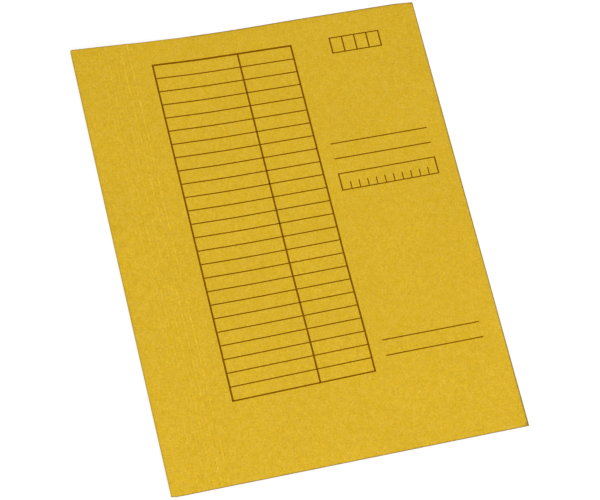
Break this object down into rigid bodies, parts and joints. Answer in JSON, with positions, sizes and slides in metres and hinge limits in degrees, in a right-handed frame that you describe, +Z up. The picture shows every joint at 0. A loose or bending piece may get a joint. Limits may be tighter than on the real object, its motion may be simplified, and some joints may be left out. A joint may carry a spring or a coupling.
{
  "type": "file folder",
  "caption": "Flat board file folder with a scored front cover that rolls over, and a tin prong fastener with a compressor bar and sliding locks inside the spine.",
  "frame": {"origin": "middle of the back cover's underside, with the folder lying closed", "axes": "+X from the spine to the open edge, +Y up the spine to the top edge, +Z up out of the front cover"},
  "size_m": [0.241, 0.305, 0.0041],
  "materials": {
    "board": "matte",
    "strip_card": "matte",
    "tinplate": "satin",
    "bar_tinplate": "satin",
    "slider_tinplate": "satin"
  },
  "bodies": {
    "back": {"back_cover": "board", "binding_strip": "strip_card", "prong_base": "tinplate"},
    "spine": {"spine": "board"},
    "margin": {"front_margin": "board"},
    "strip_1": {"score_strip_1": "board"},
    "strip_2": {"score_strip_2": "board"},
    "strip_3": {"score_strip_3": "board"},
    "strip_4": {"score_strip_4": "board"},
    "front": {"front_cover": "board"},
    "bar": {"compressor_bar": "bar_tinplate"},
    "prong_upper": {"prong_upper": "tinplate"},
    "prong_lower": {"prong_lower": "tinplate"},
    "slider_upper": {"slider_upper": "slider_tinplate"},
    "slider_lower": {"slider_lower": "slider_tinplate"}
  },
  "joints": [
    {"name": "cover_open", "type": "hinge", "parent": "back", "child": "spine", "pos_m": [-0.1198, 0, 0.0002], "axis": [0, -1, 0], "range_deg": [0, 90]},
    {"name": "cover_fold", "type": "hinge", "parent": "spine", "child": "margin", "pos_m": [-0.1198, 0, 0.00395], "axis": [0, -1, 0], "range_deg": [0, 90]},
    {"name": "score_1", "type": "hinge", "parent": "margin", "child": "strip_1", "pos_m": [-0.1025, 0, 0.00395], "axis": [0, 1, 0], "range_deg": [-36, 0]},
    {"name": "score_2", "type": "hinge", "parent": "strip_1", "child": "strip_2", "pos_m": [-0.0975, 0, 0.00395], "axis": [0, 1, 0], "range_deg": [-36, 0]},
    {"name": "score_3", "type": "hinge", "parent": "strip_2", "child": "strip_3", "pos_m": [-0.0925, 0, 0.00395], "axis": [0, 1, 0], "range_deg": [-36, 0]},
    {"name": "score_4", "type": "hinge", "parent": "strip_3", "child": "strip_4", "pos_m": [-0.0875, 0, 0.00395], "axis": [0, 1, 0], "range_deg": [-36, 0]},
    {"name": "score_5", "type": "hinge", "parent": "strip_4", "child": "front", "pos_m": [-0.0825, 0, 0.00395], "axis": [0, 1, 0], "range_deg": [-36, 0]},
    {"name": "bar_lift", "type": "slide", "parent": "back", "child": "bar", "axis": [0, 0, 1], "range_m": [0, 0.006]},
    {"name": "prong_upper_bend", "type": "hinge", "parent": "back", "child": "prong_upper", "pos_m": [-0.0965, 0.04, 0.00235], "axis": [1, 0, 0], "range_deg": [0, 90]},
    {"name": "prong_lower_bend", "type": "hinge", "parent": "back", "child": "prong_lower", "pos_m": [-0.0965, -0.04, 0.00235], "axis": [-1, 0, 0], "range_deg": [0, 90]},
    {"name": "slider_upper_slide", "type": "slide", "parent": "bar", "child": "slider_upper", "axis": [0, 1, 0], "range_m": [-0.0188, 0.0433]},
    {"name": "slider_lower_slide", "type": "slide", "parent": "bar", "child": "slider_lower", "axis": [0, -1, 0], "range_m": [-0.0188, 0.0433]}
  ],
  "couplings": [
    {"joint": "cover_fold", "follows": "cover_open", "ratio": 1},
    {"joint": "prong_upper_bend", "follows": "cover_open", "ratio": 1},
    {"joint": "prong_lower_bend", "follows": "cover_open", "ratio": 1},
    {"joint": "bar_lift", "follows": "cover_open", "m_per_rad": 0.003819}
  ]
}
